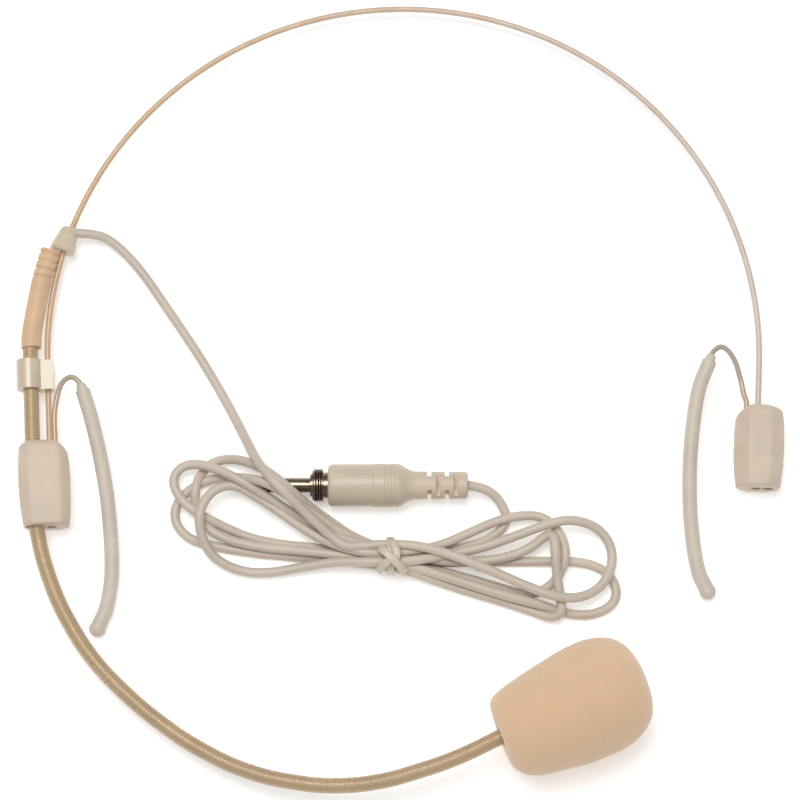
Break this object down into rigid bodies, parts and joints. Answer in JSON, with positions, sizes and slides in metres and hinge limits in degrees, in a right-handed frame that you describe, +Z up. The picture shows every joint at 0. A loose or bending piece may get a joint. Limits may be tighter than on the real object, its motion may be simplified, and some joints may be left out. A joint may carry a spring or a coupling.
{
  "type": "headset microphone",
  "caption": "Behind-the-head headset microphone with sliding ear hooks, bendable gooseneck boom, foam windscreen and a tied lead ending in a locking jack plug.",
  "frame": {"origin": "on the table, under the middle of the headset's box without its cord", "axes": "+X across the head, +Y towards the back of the head band, +Z up from the table it lies on"},
  "size_m": [0.1844, 0.1951, 0.0275],
  "materials": {
    "coated_wire": "tan plastic coat on spring wire",
    "spring_steel": "drawn spring wire",
    "block_plastic": "beige moulded soft-touch plastic",
    "grip_rubber": "soft friction liner",
    "brass_insert": "turned",
    "hook_wire_coat": "varnished wire",
    "hook_sleeve_soft": "soft beige sleeve",
    "relief_rubber": "peach rubber",
    "gooseneck_wound": "tan coated close-wound strip",
    "clip_plastic": "glossy ivory",
    "foam": "open-cell foam, peach",
    "mic_metal": "anodised tan",
    "capsule_metal": "electret can",
    "board": "glass-epoxy board",
    "cord_jacket": "beige cable jacket",
    "tie_plastic": "twist tie",
    "nickel": "nickel plate",
    "insulator_black": "moulded",
    "handle_plastic": "beige moulded",
    "boot_rubber": "beige flexible",
    "solder_tin": "tinned",
    "copper_core": "insulated lead"
  },
  "bodies": {
    "headband": {"band_core_wire": "spring_steel", "band_sheath": "coated_wire", "left_band_end_stop": "solder_tin", "right_band_end_stop": "solder_tin", "cable_clip": "clip_plastic", "boom_strain_relief": "relief_rubber", "boom_crimp_sleeve": "brass_insert", "gooseneck_upper": "gooseneck_wound", "boom_lead_upper": "copper_core", "lead_cable": "cord_jacket", "cord_hank": "cord_jacket", "cord_tie": "tie_plastic", "plug_lead_cable": "cord_jacket", "plug_tip": "nickel", "plug_tip_insulator": "insulator_black", "plug_ring": "nickel", "plug_ring_insulator": "insulator_black", "plug_sleeve": "nickel", "plug_handle": "handle_plastic", "plug_boot": "boot_rubber", "plug_solder_lugs": "solder_tin", "plug_cable_clamp": "solder_tin", "plug_cable_tail": "cord_jacket"},
    "boom_clip": {"boom_clip": "clip_plastic"},
    "left_slider": {"left_slider_block": "block_plastic", "left_wire_grip": "grip_rubber", "left_hook_bush": "brass_insert"},
    "left_hook": {"left_hook_wire": "hook_wire_coat", "left_hook_sleeve": "hook_sleeve_soft", "left_hook_collar": "hook_sleeve_soft", "left_hook_end_cap": "hook_sleeve_soft"},
    "right_slider": {"right_slider_block": "block_plastic", "right_wire_grip": "grip_rubber", "right_hook_bush": "brass_insert"},
    "right_hook": {"right_hook_wire": "hook_wire_coat", "right_hook_sleeve": "hook_sleeve_soft", "right_hook_collar": "hook_sleeve_soft", "right_hook_end_cap": "hook_sleeve_soft"},
    "boom_middle": {"gooseneck_flex_1": "gooseneck_wound", "gooseneck_middle": "gooseneck_wound", "boom_lead_middle": "copper_core"},
    "boom_lower": {"gooseneck_flex_2": "gooseneck_wound", "gooseneck_lower": "gooseneck_wound", "boom_lead_lower": "copper_core"},
    "mic": {"gooseneck_flex_3": "gooseneck_wound", "gooseneck_tip": "gooseneck_wound", "boom_lead_tip": "copper_core", "mic_rear_ferrule": "brass_insert", "mic_housing": "mic_metal", "mic_front_grille": "mic_metal", "mic_capsule": "capsule_metal", "mic_capsule_seal": "grip_rubber", "mic_capsule_board": "board"},
    "windscreen": {"foam_windscreen": "foam"},
    "lock_collar": {"plug_lock_collar": "nickel"}
  },
  "joints": [
    {"name": "left_block_slide", "type": "slide", "parent": "headband", "child": "left_slider", "axis": [-0.0523, 0.9986, 0], "range_m": [0, 0.0045]},
    {"name": "right_block_slide", "type": "slide", "parent": "headband", "child": "right_slider", "axis": [0.0523, 0.9986, 0], "range_m": [-0.005, 0.008]},
    {"name": "boom_clip_slide", "type": "slide", "parent": "headband", "child": "boom_clip", "axis": [-0.0523, 0.9986, 0], "range_m": [-0.003, 0.002]},
    {"name": "left_hook_turn", "type": "hinge", "parent": "left_slider", "child": "left_hook", "pos_m": [-0.08245, -0.0132, 0.0075], "axis": [-0.0523, 0.9986, 0], "range_deg": [-90, 30]},
    {"name": "right_hook_turn", "type": "hinge", "parent": "right_slider", "child": "right_hook", "pos_m": [0.0832, -0.0044, 0.00625], "axis": [0.0523, 0.9986, 0], "range_deg": [-30, 90]},
    {"name": "boom_lift", "type": "hinge", "parent": "headband", "child": "boom_middle", "pos_m": [-0.06945, -0.0686, 0.00675], "axis": [-0.7362, -0.6768, 0], "range_deg": [-25, 50], "deforming": ["gooseneck_flex_1"]},
    {"name": "boom_reach", "type": "hinge", "parent": "boom_middle", "child": "boom_lower", "pos_m": [-0.0197, -0.0953, 0.0103], "axis": [0, 0, 1], "range_deg": [-40, 0], "deforming": ["gooseneck_flex_2"]},
    {"name": "mic_tilt", "type": "hinge", "parent": "boom_lower", "child": "mic", "pos_m": [0.0086, -0.09105, 0.01295], "axis": [0.3198, -0.9475, 0], "range_deg": [-35, 35], "deforming": ["gooseneck_flex_3"]},
    {"name": "windscreen_pull_off", "type": "slide", "parent": "mic", "child": "windscreen", "axis": [0.9397, 0.342, 0], "range_m": [0, 0.021]},
    {"name": "lock_collar_spin", "type": "hinge", "parent": "headband", "child": "lock_collar", "pos_m": [-0.0209, -0.0237, 0.0052], "axis": [1, 0, 0], "continuous": true}
  ]
}
